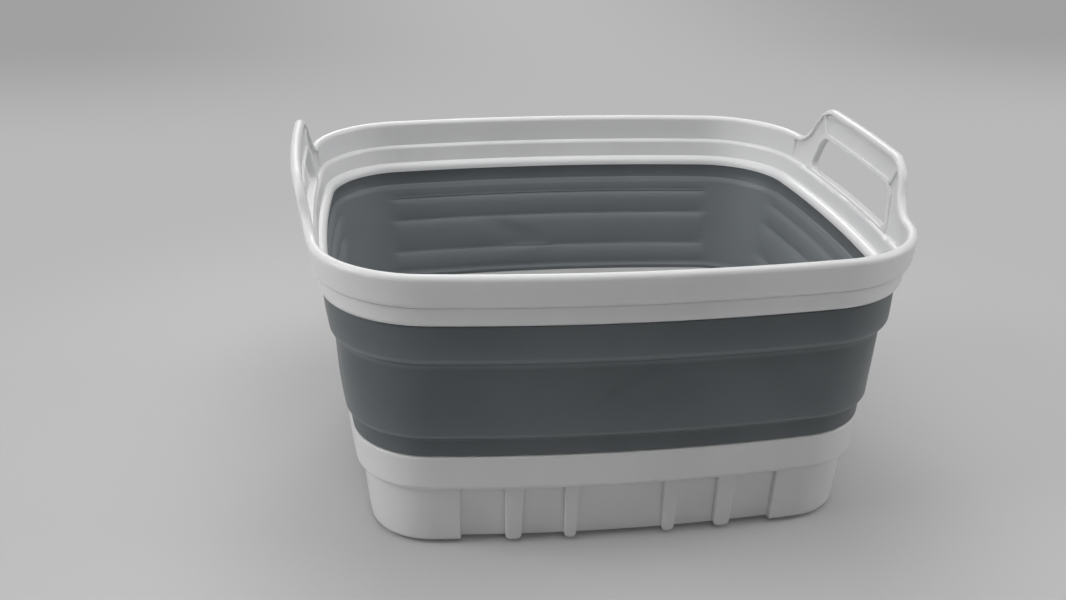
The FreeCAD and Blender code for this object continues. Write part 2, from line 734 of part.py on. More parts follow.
# Studs pressed into bores in the corner skirts
stud_inset = skirt_end.x + dim.stud_radius
stud_circle = dim.long_side_radius - stud_inset
stud_x = corner_x - dim.stud_run
stud_y = long_axis_y + root(stud_circle * stud_circle - stud_x * stud_x)
stud_top_z = skirt_foot_z + dim.stud_shank_length
stud = new_body("stud")
stud_section = body_sketch(stud, "stud_section", "XZ_Plane")
draw_loop(stud_section, [
    Corner(ZERO, ZERO), Corner(dim.stud_radius - dim.stud_dome_round, ZERO, dim.stud_dome_round, 1),
    Corner(dim.stud_radius, dim.stud_dome_round), Corner(dim.stud_radius, skirt_foot_z),
    Corner(dim.stud_shank_radius, skirt_foot_z), Corner(dim.stud_shank_radius, stud_top_z),
    Corner(ZERO, stud_top_z)])
stud_turned = stud.newObject("PartDesign::Revolution", "stud_turned")
stud_turned.Profile = (stud_section, [""])
stud_turned.ReferenceAxis = (stud_section, ["V_Axis"])
bore = doc.addObject("Part::Cylinder", "stud_bore")
bore.setExpression("Radius", (dim.stud_shank_radius + dim.stud_clearance).text)
bore.setExpression("Height", (stud_top_z + dim.stud_clearance).text)
for piece in (stud, bore):
    piece.setExpression("Placement.Base.x", stud_x.text)
    piece.setExpression("Placement.Base.y", stud_y.text)
foot_studs = four_ways("foot_studs", stud)
base = boolean("Cut", "base", base_whole, four_ways("stud_bores", bore))
doc.recompute()


def arch_half(corner_half, top_z, angle, corner_radius, foot_radius, foot_z, flares):
    """One half of an arch, from its top down: corner arc, leaning leg, and a foot arc that flares out or
    turns back in."""
    bend = tangent((RIGHT_ANGLE - angle) / 2)
    top_run = corner_radius * bend
    foot_run = foot_radius * bend if flares else foot_radius / bend
    leg_foot_y = corner_half + (top_z - foot_z) * tangent(angle)
    foot_end_y = leg_foot_y + foot_run if flares else leg_foot_y - foot_run
    return [Corner(corner_half - top_run, top_z, corner_radius, -1),
            Corner(corner_half + top_run * sine(angle), top_z - top_run * cosine(angle)),
            Corner(leg_foot_y - foot_run * sine(angle), foot_z + foot_run * cosine(angle), foot_radius,
                   1 if flares else -1),
            Corner(foot_end_y, foot_z)]


def other_half(corners):
    """The mirror image of one half, walked from its foot back up to the top."""
    befores = [Corner(ZERO, ZERO)] + corners[:-1]
    flipped = [Corner(-corner.x, corner.y, before.radius, before.turn)
               for before, corner in zip(befores, corners)]
    return flipped[::-1]


def arch_moved_in(inset):
    """Handle outline moved in by inset, with all its arcs kept round the same centres."""
    angle = dim.handle_leg_angle
    corner_half = handle_corner_half + inset * tangent(angle) - inset / cosine(angle)
    return arch_half(corner_half, handle_top_z - inset, angle, dim.handle_corner_radius - inset,
                     dim.handle_foot_radius + inset, rim_top_z - inset, True)


def hole_loop():
    half = arch_half(hole_corner_half, hole_top_z, dim.hole_leg_angle, dim.hole_corner_radius,
                     dim.hole_foot_radius, upper_ledge_z + dim.hole_sill, False)
    return half + other_half(half)


def hole_frame_loop(foot_z):
    """The finger hole moved out by its flange, with legs that run on down to foot_z."""
    angle = dim.hole_leg_angle
    top_z = hole_top_z + dim.hole_flange
    corner_half = hole_corner_half - dim.hole_flange * tangent(angle) + dim.hole_flange / cosine(angle)
    corner_arc = arch_half(corner_half, top_z, angle, dim.hole_corner_radius + dim.hole_flange,
                           dim.hole_foot_radius, foot_z, False)[:2]
    half = corner_arc + [Corner(corner_half + (top_z - foot_z) * tangent(angle), foot_z)]
    return half + other_half(half)


def handle_loop(inset, half_zone, foot_z):
    half = arch_moved_in(inset)
    sides = [Corner(half_zone, half[-1].y), Corner(half_zone, foot_z), Corner(-half_zone, foot_z),
             Corner(-half_zone, half[-1].y)]
    return half + sides + other_half(half)


def plate_face(depth, z):
    """Inset of a face that lies that deep in the handle's plate, which carries on the rim's upper face."""
    return face_in(bead_tangent.x, depth, bead_tangent.y, dim.rim_upper_draft, z)


def plate_section(shallow, deep, foot_z, top_z):
    """Section through a layer of the handle's plate, between two depths."""
    return [Corner(plate_face(shallow, top_z), top_z), Corner(plate_face(shallow, foot_z), foot_z),
            Corner(plate_face(deep, foot_z), foot_z), Corner(plate_face(deep, top_z), top_z)]


def plate_layer(name, section, half_span):
    """A layer of the plate, bent round the axis of the short side."""
    sketch = loose_sketch(name + "_section", FRONT_VIEW, [from_side(dim.half_length, section)])
    return revolve_about(name, sketch, short_axis_x, ZERO, chord_angle(half_span, dim.short_side_radius))


# Handle plates: a curved blank cut to the arch, with rounded edges and a channel on the inner side.
# Its outer layer replaces the ring's wall, and the rest runs down into the rim's upper ledge
RIGHT_ANGLE = Size(90.0, "90")
handle_corner_half = corner_y - dim.handle_corner_run
hole_corner_half = handle_corner_half - dim.grip_leg_width
hole_top_z = handle_top_z - dim.grip_height
zone_half = arch_moved_in(ZERO)[-1].x + dim.handle_zone_margin
zone_foot_z = upper_ledge_z + dim.hole_sill / 2
zone_top_z = handle_top_z + dim.overrun
blank_span = zone_half + dim.overrun
blank_layer = plate_layer("handle_blank_layer", [
    Corner(plate_face(ZERO, zone_top_z), zone_top_z), Corner(plate_face(ZERO, zone_foot_z), zone_foot_z),
    Corner(plate_face(dim.rim_wall, zone_foot_z), zone_foot_z),
    Corner(plate_face(dim.rim_wall, rim_ledge_turn_z), rim_ledge_turn_z),
    Corner(plate_face(bead_inner_x, rim_ledge_turn_z), rim_ledge_turn_z),
    Corner(plate_face(bead_inner_x, zone_top_z), zone_top_z)], blank_span)
arch = extrude_both_ways("handle_arch", loose_sketch("handle_arch_front", END_VIEW, [
    handle_loop(ZERO, zone_half, rim_ledge_turn_z)]), ALONG_X)
handle_blank = boolean("Common", "handle_blank", blank_layer, arch)
doc.recompute()
handle_edge_round = dim.bead_radius * dim.handle_edge_round_share
handle_rounded = round_edges("handle_rounded", handle_blank, handle_edge_round, [
    edge.BoundBox.ZMin > bead_z.value and edge.Curve.TypeId != "Part::GeomLine"
    for edge in handle_blank.Shape.Edges])


def corner_rib(side):
    """Front of the rib across the channel at one top corner of the handle, along the corner's middle."""
    corner = arch_moved_in(ZERO)[0]
    lean = (RIGHT_ANGLE + dim.handle_leg_angle) / 2
    half = dim.handle_rib / 2
    centre_z = handle_top_z - dim.handle_corner_radius
    along_y, along_z = dim.handle_corner_radius * cosine(lean), dim.handle_corner_radius * sine(lean)
    across_y, across_z = half * sine(lean), half * cosine(lean)
    points = [(corner.x - across_y, centre_z + across_z), (corner.x + across_y, centre_z - across_z),
              (corner.x + along_y + across_y, centre_z + along_z - across_z),
              (corner.x + along_y - across_y, centre_z + along_z + across_z)]
    return [Corner(y if side > 0 else -y, z) for y, z in points]


channel_foot_z = upper_ledge_z - dim.overrun
channel_span = blank_span + dim.overrun
channel_layer = plate_layer("handle_channel_layer", plate_section(
    dim.rim_wall, bead_inner_x + dim.overrun, channel_foot_z, zone_top_z), channel_span)
flange_depth = dim.rim_wall + dim.hole_flange_rise
trim_layer = plate_layer("hole_flange_trim_layer", plate_section(
    flange_depth, bead_inner_x + dim.overrun, channel_foot_z, zone_top_z), channel_span)
channel_arch = extrude_both_ways("channel_arch", loose_sketch("channel_arch_front", END_VIEW, [
    handle_loop(dim.handle_edge_width, blank_span, channel_foot_z)]), ALONG_X)
hole_frame = extrude_both_ways("hole_frame", loose_sketch("hole_frame_front", END_VIEW, [
    hole_frame_loop(channel_foot_z - dim.overrun)]), ALONG_X)
corner_ribs = extrude_both_ways("corner_ribs", loose_sketch("corner_rib_fronts", END_VIEW, [
    corner_rib(-1), corner_rib(1)]), ALONG_X)
channel_kept = gather("Compound", "channel_kept", [hole_frame, corner_ribs])
channel_front = boolean("Cut", "channel_front", channel_arch, channel_kept)
channel = boolean("Common", "handle_channel", channel_layer, channel_front)
flange_trim = boolean("Common", "hole_flange_trim", trim_layer, channel_arch)
handle_channelled = boolean("Cut", "handle_channelled", handle_rounded, channel)
handle_trimmed = boolean("Cut", "handle_trimmed", handle_channelled, flange_trim)
finger_hole = extrude_both_ways("finger_hole", loose_sketch("finger_hole_front", END_VIEW, [
    hole_loop()]), ALONG_X)
handle_holed = boolean("Cut", "handle_holed", handle_trimmed, finger_hole)
doc.recompute()
hole_wall = Part.Compound([face for face in finger_hole.Shape.Faces if face.BoundBox.XLength > reach.value])
handle_right = round_edges("handle_right", handle_holed, dim.hole_edge_round, [
    edge.Curve.TypeId != "Part::GeomLine" and lies_on(edge, hole_wall) for edge in handle_holed.Shape.Edges])
handle_left = mirror("handle_left", handle_right, ALONG_X)

# The rim: its ring makes room for the plates and the finger holes
handle_zone = box_between("handle_zone", (-reach, -zone_half, zone_foot_z), (reach, zone_half, zone_top_z))
rim_open = boolean("Cut", "rim_open", rim_ring, handle_zone)
rim = gather("MultiFuse", "rim", [rim_open, handle_right, handle_left])
doc.recompute()

# Every piece is checked, then written under its node's name
pieces = {"rim": rim, "wall_upper_band": wall_upper_band, "wall_fold_band": wall_fold_band,
          "wall_lower_band": wall_lower_band, "base": base, "foot_studs": foot_studs}
for item in doc.Objects:
    if "Invalid" in item.State or "Error" in item.State:
        raise RuntimeError("%s could not be built: %s" % (item.Name, item.State))
os.makedirs("parts", exist_ok=True)
for node, piece in pieces.items():
    piece.Label = node
    if piece.Shape.isNull() or not piece.Shape.isValid():
        raise RuntimeError("%s has no valid shape" % node)
    piece.Shape.exportStep("parts/%s.step" % node)
    print(node, len(piece.Shape.Solids), "solids", round(piece.Shape.Volume), "mm3")
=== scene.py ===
"""Looks of a collapsible washing up bowl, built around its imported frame."""
import math

import bmesh
import bpy
from bpy.props import FloatProperty, FloatVectorProperty, IntProperty, PointerProperty
from mathutils import Matrix, Vector


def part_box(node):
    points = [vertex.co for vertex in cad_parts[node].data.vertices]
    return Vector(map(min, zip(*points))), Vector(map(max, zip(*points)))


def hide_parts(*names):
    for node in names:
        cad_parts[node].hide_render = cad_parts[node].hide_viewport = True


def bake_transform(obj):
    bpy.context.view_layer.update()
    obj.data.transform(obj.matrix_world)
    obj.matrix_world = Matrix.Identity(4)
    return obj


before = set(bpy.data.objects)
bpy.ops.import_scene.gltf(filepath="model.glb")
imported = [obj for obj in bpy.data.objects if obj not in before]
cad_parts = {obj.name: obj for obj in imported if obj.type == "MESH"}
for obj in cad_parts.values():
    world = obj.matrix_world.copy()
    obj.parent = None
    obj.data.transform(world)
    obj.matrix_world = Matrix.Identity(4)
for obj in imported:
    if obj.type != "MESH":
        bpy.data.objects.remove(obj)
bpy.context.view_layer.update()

bl_info = {
    "name": "Collapsible washing up bowl",
    "version": (1, 0, 0),
    "blender": (4, 5, 0),
    "location": "View3D > Sidebar > Bowl",
    "description": "Soft wall, moulded finishes and studio of a folding washing up bowl",
    "category": "Object",
}

MM = 0.001
PHOTO_WIDTH = 1066
SENSOR_WIDTH = 36.0
CLIP_START = 0.01
FLOOR_SEGMENTS = 96
SHARP_ANGLE = math.radians(50)
HALF_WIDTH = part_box("rim")[1].y

# How the hard mouldings lie in the soft wall
FLANGE_DEPTH = 2 * MM
UPSTAND_OUTER = 3.4 * MM
UPSTAND_INNER = 5.6 * MM

# Shares of the folding band that fade its unevenness, and how squarely a dented side faces
FOLD_FADE_SHARE = 0.3
SIDE_FACING = (0.5, 0.9)

# Finishes
PLASTIC_IOR = 1.5
SHEEN_ROUGHNESS = 0.5
MILKY_REACH = 3 * MM
GRAIN_HEIGHT = 0.1 * MM
# Painted light: how far a point with full painted light goes towards the lighter colour
PAINTED_LIGHT_SHARE = 0.85
CLOUD_TINT = (0.35, 0.7)
CLOUD_GLOSS = (0.3, 0.7)


def foot_of(node):
    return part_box(node)[0].z


def top_of(node):
    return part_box(node)[1].z


def inset_of(node):
    """How far a node's widest part lies inside the rim's outline."""
    return HALF_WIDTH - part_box(node)[1].y


def length(name, description, default):
    return FloatProperty(name=name, description=description, default=default, unit="LENGTH", precision=5)


def angle(name, description, degrees):
    return FloatProperty(name=name, description=description, default=math.radians(degrees), subtype="ANGLE")


def factor(name, description, default):
    return FloatProperty(name=name, description=description, default=default)


def colour(name, description, default):
    return FloatVectorProperty(name=name, description=description, default=default, subtype="COLOR", size=3,
                               min=0.0, max=1.0)


def power(name, description, default):
    return FloatProperty(name=name, description=description, default=default, unit="POWER")


def place(name, description, default):
    return FloatVectorProperty(name=name, description=description, default=default, subtype="TRANSLATION",
                               size=3, unit="LENGTH")


class BowlOutline(bpy.types.PropertyGroup):
    """Plan of the rim: a rounded rectangle whose four sides are bowed."""

    half_length: length("Half length", "From the middle to the outline at the short ends", 157.5 * MM)
    half_width: length("Half width", "From the middle to the outline at the long sides", HALF_WIDTH)
    short_radius: length("Short side radius", "Radius of the bow of the short sides", 850 * MM)
    long_radius: length("Long side radius", "Radius of the bow of the long sides", 830 * MM)
    corner_radius: length("Corner radius", "Radius of the four corners", 60 * MM)
    long_fade: angle("Long fade", "Turn of a corner where the steps of the long sides have faded out", 10)
    short_fade: angle("Short fade", "Turn of a corner where those of the short sides have faded out", 24)
    side_steps: IntProperty(name="Side steps", description="Points along each side", default=84)
    corner_steps: IntProperty(name="Corner steps", description="Points round each corner", default=26)


class WallSizes(bpy.types.PropertyGroup):
    """Section of the soft wall, as insets from the outline and heights above the floor."""

    rim_foot: length("Rim foot", "Height where the wall meets the rim", top_of("wall_upper_band"))
    upper_crease: length("Upper crease", "Height of the upper crease", top_of("wall_fold_band"))
    lower_crease: length("Lower crease", "Height of the lower crease", foot_of("wall_fold_band"))
    collar_top: length("Collar top", "Height where the wall meets the base", foot_of("wall_lower_band"))
    upper_inset: length("Upper inset", "Inset of the upper band", inset_of("wall_upper_band"))
    fold_inset: length("Fold inset", "Inset of the folding band", inset_of("wall_fold_band"))
    lower_inset: length("Lower inset", "Inset of the lower band", inset_of("wall_lower_band"))
    upper_draft: angle("Upper draft", "Lean of the upper band", 3)
    fold_draft: angle("Fold draft", "Lean of the folding band", 4)
    lower_draft: angle("Lower draft", "Lean of the lower band", 3)
    upper_round: length("Upper round", "Round under the upper band", 4.6 * MM)
    fold_round: length("Fold round", "Round under the folding band", 3.6 * MM)
    lower_round: length("Lower round", "Round under the lower band", 2.0 * MM)
    groove: length("Groove", "Height of the groove at each crease", 0.12 * MM)
    lip_round: length("Lip round", "Round on the lip over each band", 0.45 * MM)
    # Painted highlight: the lower part of each outer band's face is lightened towards its round
    painted_face_glow: factor("Glow face", "How rubbed the outer bands are over their lower round", 0.3)
    flange_inset: length("Flange inset", "Inset of the rim's anchor flange",
                         inset_of("wall_upper_band") + FLANGE_DEPTH)
    flange_foot: length("Flange foot", "Height of the foot of the rim's anchor flange", foot_of("rim"))
    upstand_inset: length("Upstand inset", "Inset of the outer face of the base's upstand",
                          inset_of("base") + UPSTAND_OUTER)
    upstand_inner: length("Upstand inner", "Inset of the inner face of the base's upstand",
                          inset_of("base") + UPSTAND_INNER)
    upstand_top: length("Upstand top", "Height of the base's upstand", top_of("base"))
    bond_gap: length("Bond gap", "Clearance round the rim's flange and the base's upstand", 0.05 * MM)
    strip_inset: length("Strip inset", "Inset of the strip inside, under the rim", 11.4 * MM)
    shelf_height: length("Shelf height", "Height of the shelf that runs all round inside", 119.5 * MM)
    shelf_inset: length("Shelf inset", "Inset of the edge of that shelf", 13.0 * MM)
    sill_height: length("Sill height", "Height of the sill inside, over the base", 62.9 * MM)
    sill_inset: length("Sill inset", "Inset of the wall where it meets the sill", 21.6 * MM)
    sill_round: length("Sill round", "Round on the edge of the sill", 1.2 * MM)


class WallRelief(bpy.types.PropertyGroup):
    """Steps moulded into the flat sides inside, and the unevenness of the soft wall."""

    step_heights: FloatVectorProperty(name="Step heights", description="Heights of the steps inside", size=3,
                                      default=(75.7 * MM, 96.2 * MM, 110.8 * MM), unit="LENGTH")
    overhang: factor("Overhang", "Lean of the faces between the steps, where 1 is upright", 0.6)
    step_width: length("Step width", "How far the edge of a step is rounded back", 1.9 * MM)
    step_depth: length("Step depth", "How far down the edge of a step is rounded", 4.5 * MM)
    # Painted light: the inside faces are lighter than the outer bands, least at their foot and most at their upper
    # edge, in place of light and highlights that the lamps do not give
    painted_light_foot: factor("Rubbed foot", "How rubbed the faces inside are at their foot", 0.22)
    painted_light_edge: factor("Rubbed edge", "How rubbed the faces inside are at their upper edge", 0.78)
    shelf_depth: length("Shelf depth", "How far down the edge of the shelf is rounded", 2.6 * MM)
    ripple: length("Ripple", "Unevenness of the folding band", 0.45 * MM)
    ripple_size: length("Ripple size", "Spacing of that unevenness", 55 * MM)


class BowlColours(bpy.types.PropertyGroup):
    """Colours of the mouldings and of the studio."""

    white: colour("White", "Hard plastic of the rim and base", (0.788, 0.788, 0.792))
    white_shade: colour("White shade", "Darker clouds in the hard plastic", (0.745, 0.745, 0.749))
    slate: colour("Slate", "Soft wall", (0.109, 0.124, 0.132))
    slate_shade: colour("Slate shade", "Darker clouds in the soft wall", (0.095, 0.108, 0.116))
    # Painted light: a lighter slate for the wall's lips, crease rounds, step edges and inside faces, in place of
    # highlights and of light that the lamps do not bring there
    slate_painted_light: colour("Slate lip", "Rubbed lips of the soft wall", (0.21, 0.23, 0.243))
    stud: colour("Stud", "Foot studs", (0.66, 0.675, 0.68))
    stud_shade: colour("Stud shade", "Darker clouds in the foot studs", (0.58, 0.595, 0.60))
    floor: colour("Floor", "Studio floor", (0.485, 0.485, 0.485))


class StudioSetup(bpy.types.PropertyGroup):
    """Camera and lights."""

    camera_place: place("Camera", "Where the camera stands", (-0.1361, -0.6746, 0.3719))
    camera_yaw: angle("Yaw", "Turn of the camera about the upright", -8.943)
    camera_pitch: angle("Pitch", "How far the camera looks down", 22.594)
    camera_roll: angle("Roll", "Lean of the camera", -1.183)
    focal_pixels: factor("Focal length", "Focal length in pixels of the photograph", 1293.7)
    key_place: place("Key place", "Middle of the large soft light overhead", (0.0, -0.05, 2.2))
    key_size: length("Key size", "Width of that light", 2.4)
    key_power: power("Key power", "Power of that light", 29.0)
    left_place: place("Left place", "Middle of the soft light on the left", (-1.6, -0.1, 0.95))
    left_power: power("Left power", "Power of that light", 15.0)
    right_place: place("Right place", "Middle of the soft light on the right", (1.6, -0.1, 0.95))
    right_power: power("Right power", "Power of that light", 9.0)
    back_place: place("Back place", "Middle of the soft light behind the bowl", (0.0, 1.8, 1.4))
    back_power: power("Back power", "Power of that light", 14.0)
    front_place: place("Front place", "Middle of the soft light over the camera", (0.0, -1.8, 1.4))
    front_power: power("Front power", "Power of that light", 5.5)
    side_size: length("Side size", "Width of the lights round the bowl", 1.1)
    sky_level: factor("Sky level", "Light from all round", 0.02)
    backdrop_level: factor("Backdrop level", "Brightness of the far background", 0.355)
    floor_radius: length("Floor radius", "Radius of the floor", 9.0)
    pool_radius: length("Pool radius", "Where the floor stops taking shadows", 0.24)
    far_radius: length("Far radius", "Where the floor has its own even brightness", 0.52)
    dim_middle: length("Dim middle", "Line along which the far floor stays bright", 0.2)
    dim_reach: length("Dim reach", "How far to the sides of that line the far floor has dimmed", 0.72)
    dim_near: length("Dim near", "How far behind the bowl the floor starts to dim", 0.6)
    dim_far: length("Dim far", "How far behind the bowl it is dimmed in full", 1.2)
    fade_start: length("Fade start", "Where the floor starts to fade into the far background", 2.2)
    fade_end: length("Fade end", "Where it has faded into the far background", 4.5)
    floor_level: factor("Floor level", "Brightness of the floor between them", 0.485)
    # Painted light: an even emission on the near floor for camera, glossy and transmission rays that lifts the
    # shadow under the bowl
    painted_floor_fill: factor("Floor fill", "Light that the paper itself scatters under the bowl", 0.03)


class BowlSettings(bpy.types.PropertyGroup):
    """Everything that a user would change."""

    outline: PointerProperty(type=BowlOutline)
    wall: PointerProperty(type=WallSizes)
    relief: PointerProperty(type=WallRelief)
    colours: PointerProperty(type=BowlColours)
    studio: PointerProperty(type=StudioSetup)


# Dents of the soft wall: side (-1 front, 1 back), x and height in metres, half sizes, lean and depth
DENTS = (
    (-1, -0.008, 0.091, 0.016, 0.0055, 36, 2.6 * MM),
    (-1, 0.004, 0.097, 0.013, 0.005, 30, -1.8 * MM),
    (1, -0.028, 0.087, 0.018, 0.0045, -21, -1.7 * MM),
    (1, -0.012, 0.073, 0.015, 0.005, 24, 1.6 * MM),
)
FACE_ROWS = 14
ROUND_STEPS = 6
PANEL_ROWS = 6
LIP_STEPS = 3


class NodeBuilder:
    """Adds nodes to a tree and links what it is given to their inputs."""

    def __init__(self, tree):
        self.tree = tree

    def add(self, kind, inputs=None, **settings):
        node = self.tree.nodes.new(kind)
        for key, value in settings.items():
            setattr(node, key, value)
        for key, value in (inputs or {}).items():
            if isinstance(value, bpy.types.NodeSocket):
                self.tree.links.new(value, node.inputs[key])
            else:
                node.inputs[key].default_value = value
        return node

    def math(self, operation, first, second=0.0):
        return self.add("ShaderNodeMath", {0: first, 1: second}, operation=operation).outputs[0]

    def vector(self, operation, first, second):
        return self.add("ShaderNodeVectorMath", {0: first, 1: second}, operation=operation).outputs[0]

    def scaled(self, vector, scale):
        return self.add("ShaderNodeVectorMath", {0: vector, "Scale": scale}, operation="SCALE").outputs[0]

    def ramp(self, value, low, high, to_low=0.0, to_high=1.0, smooth=True):
        kind = "SMOOTHSTEP" if smooth else "LINEAR"
        return self.add("ShaderNodeMapRange", {0: value, 1: low, 2: high, 3: to_low, 4: to_high},
                        interpolation_type=kind).outputs[0]

    def mixed(self, amount, first, second):
        return self.add("ShaderNodeMix", {0: amount, 6: first, 7: second}, data_type="RGBA").outputs[2]


def opaque(rgb):
    return (*rgb, 1.0)


def smooth_step(value):
    value = min(max(value, 0.0), 1.0)
    return value * value * (3 - 2 * value)


# Plan outline
def outline_points(plan):
    """Points all round the outline: place, outward direction, and 1 on the sides but 0 in the corners."""
    short_x = plan.half_length - plan.short_radius
    long_y = plan.half_width - plan.long_radius
    apart = math.hypot(short_x, long_y)
    short_reach = plan.short_radius - plan.corner_radius
    long_reach = plan.long_radius - plan.corner_radius
    along = (short_reach ** 2 - long_reach ** 2 + apart ** 2) / (2 * apart)
    across = math.sqrt(short_reach ** 2 - along ** 2)
    corner_x = short_x - short_x / apart * along - long_y / apart * across
    corner_y = long_y / apart * along - short_x / apart * across
    low = math.atan2(corner_y, corner_x - short_x)
    high = math.atan2(corner_y - long_y, corner_x)
    half = math.pi
    corner = plan.corner_radius
    arcs = (
        (short_x, 0, plan.short_radius, -low, low),
        (corner_x, corner_y, corner, low, high),
        (0, long_y, plan.long_radius, high, half - high),
        (-corner_x, corner_y, corner, half - high, half - low),
        (-short_x, 0, plan.short_radius, half - low, half + low),
        (-corner_x, -corner_y, corner, half + low, half + high),
        (0, -long_y, plan.long_radius, half + high, 2 * half - high),
        (corner_x, -corner_y, corner, 2 * half - high, 2 * half - low),
    )
    points = []
    for index, (x, y, radius, start, end) in enumerate(arcs):
        in_corner = radius == corner
        steps = plan.corner_steps if in_corner else plan.side_steps
        for step in range(steps):
            turn = start + (end - start) * step / steps
            out = Vector((math.cos(turn), math.sin(turn), 0))
            from_short, from_long = turn - start, end - turn
            if index % 4 == 3:
                from_short, from_long = from_long, from_short
            flat = 1.0
            if in_corner:
                flat = max(1 - smooth_step(from_short / plan.short_fade),
                           1 - smooth_step(from_long / plan.long_fade))
            points.append((Vector((x, y, 0)) + out * radius, out, flat))
    return points


# Section of the soft wall
class Section:
    """Closed section of the wall: inset, height, how far the flat sides leave it, how much painted light it takes
    all round, and how much more so on the flat sides."""

    def __init__(self):
        self.points = []

    def add(self, inset, height, relief=0.0, lip=0.0, shine=0.0):
        self.points.append((inset, height, relief, lip, shine))

    def outer_band(self, inset, top, crease, draft, radius, wall, painted_light, painted_glow):
        """Lip, leaning face and round of one band, down to the groove over the next. Its lip takes painted light,
        and its lower edge a painted highlight. Gives the groove's inset."""
        for step in range(LIP_STEPS + 1):
            turn = math.pi / 2 * step / LIP_STEPS
            self.add(inset + wall.lip_round * (1 - math.sin(turn)),
                     top - wall.lip_round * (1 - math.cos(turn)), lip=painted_light)
        turn_height = crease + wall.groove + radius * (1 - math.sin(draft))
        turn_inset = inset + (top - turn_height) * math.tan(draft)
        face_top = top - wall.lip_round
        for row in range(1, FACE_ROWS + 1):
            height = face_top + (turn_height - face_top) * row / FACE_ROWS
            self.add(inset + (top - height) * math.tan(draft), height,
                     lip=painted_glow * wall.painted_face_glow * (row / FACE_ROWS) ** 3)
        for step in range(1, ROUND_STEPS + 1):
            turn = draft + (math.pi / 2 - draft) * step / ROUND_STEPS
            self.add(turn_inset + radius * (math.cos(draft) - math.cos(turn)),
                     turn_height + radius * (math.sin(draft) - math.sin(turn)),
                     lip=painted_glow * (1 - step / ROUND_STEPS))
        end_inset = turn_inset + radius * math.cos(draft)
        self.add(end_inset, crease + wall.bond_gap)
        return end_inset

    def edge(self, inset, height, width, depth, relief=0.0, lip=0.0, shine=0.0, stepped=False):
        """Round from a face that rises at inset to a level ledge, which leads outwards."""
        for step in range(1, ROUND_STEPS + 1):
            turn = math.pi / 2 * step / ROUND_STEPS
            back = width * (1 - math.cos(turn))
            rise = height - depth * (1 - math.sin(turn))
            if stepped:
                self.add(inset(rise), rise, relief - back, lip, shine)
            else:
                self.add(inset - back, rise, relief, lip, shine)


def wall_section(wall, relief):
    """The outer face from the rim down, the seat on the base, the inner face up and the rim's seat."""
    section = Section()
    # The lips of the folding and lower bands take painted light, and the rounds under the upper and folding bands
    # a painted highlight
    section.outer_band(wall.upper_inset, wall.rim_foot, wall.upper_crease, wall.upper_draft, wall.upper_round,
                       wall, 0.0, 1.0)
    section.outer_band(wall.fold_inset, wall.upper_crease, wall.lower_crease, wall.fold_draft, wall.fold_round,
                       wall, 1.0, 1.0)
    seat_inset = section.outer_band(wall.lower_inset, wall.lower_crease, wall.collar_top, wall.lower_draft,
                                    wall.lower_round, wall, 1.0, 0.0)
    gap = wall.bond_gap
    section.add((seat_inset + wall.upstand_inset) / 2, wall.collar_top + gap)
    section.add(wall.upstand_inset - gap, wall.collar_top + gap)
    section.add(wall.upstand_inset - gap, wall.upstand_top + gap)
    section.add(wall.upstand_inner, wall.upstand_top + gap)
    section.add(wall.upstand_inner, wall.sill_height - wall.sill_round)
    # Painted highlight on the rounded edge of the sill
    section.edge(wall.upstand_inner, wall.sill_height, wall.sill_round, wall.sill_round, lip=0.5)
    section.add(wall.sill_inset + wall.lip_round, wall.sill_height)

    slope = (wall.sill_inset - wall.shelf_inset) / (wall.shelf_height - wall.sill_height)

    def inner(height):
        return wall.shelf_inset + (wall.shelf_height - height) * slope

    # Painted light on the inside faces: all round at the mean of foot and edge, and on the flat sides grading from
    # the foot to a painted highlight on each step's rounded edge; the shelf's edge takes the full edge level
    even = (relief.painted_light_foot + relief.painted_light_edge) / 2
    levels = [wall.sill_height, *relief.step_heights, wall.shelf_height]
    leans = [relief.overhang * slope * (above - below) / 2 for below, above in zip(levels, levels[1:])]
    for index, (below, above) in enumerate(zip(levels, levels[1:])):
        last = index == len(leans) - 1
        foot_relief = 0.0 if index == 0 else -leans[index]
        edge_relief = 0.0 if last else leans[index]
        start = below + wall.lip_round
        end = above - (relief.shelf_depth if last else relief.step_depth)
        for row in range(PANEL_ROWS + 1):
            share = row / PANEL_ROWS
            height = start + (end - start) * share
            section.add(inner(height), height, foot_relief + (edge_relief - foot_relief) * share, even,
                        (relief.painted_light_edge - relief.painted_light_foot) * (share - 0.5))
        if last:
            section.edge(wall.shelf_inset, above, wall.sill_round, relief.shelf_depth, lip=relief.painted_light_edge)
        else:
            section.edge(inner, above, relief.step_width, relief.step_depth, edge_relief, even,
                         relief.painted_light_edge - even, stepped=True)
            section.add(inner(above), above + gap, wall.lip_round - leans[index + 1], even,
                        relief.painted_light_foot - even)

    section.add(wall.strip_inset + wall.lip_round, wall.shelf_height + gap)
    section.add(wall.strip_inset, wall.shelf_height + wall.lip_round)
    section.add(wall.strip_inset, (wall.shelf_height + wall.flange_foot) / 2)
    section.add(wall.strip_inset, wall.flange_foot - gap)
    section.add(wall.flange_inset - gap, wall.flange_foot - gap)
    section.add(wall.flange_inset - gap, wall.rim_foot)
    return section.points


def closed_loop(name, points):
    """A helper object: a closed line of points for the wall's tree."""
    mesh = bpy.data.meshes.new(name)
    count = len(points)
    mesh.from_pydata(points, [(index, (index + 1) % count) for index in range(count)], [])
    helper = bpy.data.objects.new(name, mesh)
    bpy.context.scene.collection.objects.link(helper)
    return helper


def give_values(helper, name, kind, values):
    attribute = helper.data.attributes.new(name, kind, "POINT")
    for item, value in zip(attribute.data, values):
        if kind == "FLOAT_VECTOR":
            item.vector = value
        else:
            item.value = value


